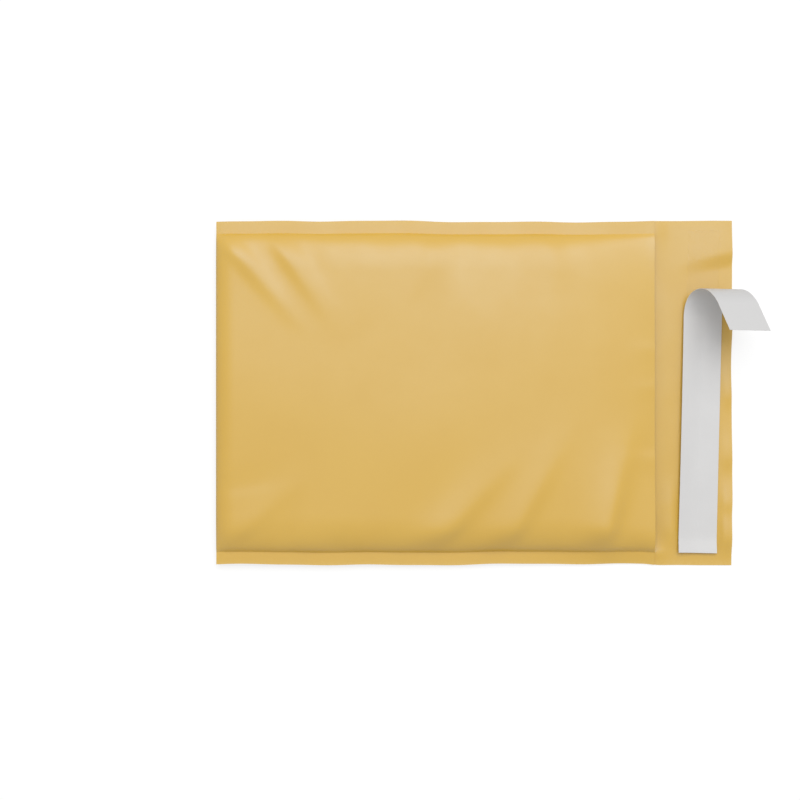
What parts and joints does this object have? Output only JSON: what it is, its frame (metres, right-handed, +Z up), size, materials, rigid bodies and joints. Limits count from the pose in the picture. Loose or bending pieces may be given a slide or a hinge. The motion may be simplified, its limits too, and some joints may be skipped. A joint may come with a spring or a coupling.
{
  "type": "bubble mailer",
  "caption": "Flat kraft paper mailing envelope with a bubble film lining, sealed sides, an open mouth and a self-seal lip whose release liner is half peeled.",
  "frame": {"origin": "centre of the envelope's outline, on the table plane under its lower panel", "axes": "+X from the folded end toward the lip, +Y across the side seals, +Z up out of the seal side"},
  "size_m": [0.3329, 0.216, 0.039],
  "materials": {
    "kraft_paper": "satin golden kraft paper",
    "bubble_film": "clear bubble film",
    "hot_melt": "clear tacky hot melt",
    "liner_paper": "smooth release paper"
  },
  "bodies": {
    "root": {"kraft_pouch": "kraft_paper", "bubble_lining": "bubble_film", "adhesive_strip": "hot_melt", "release_liner": "liner_paper"}
  },
  "joints": []
}
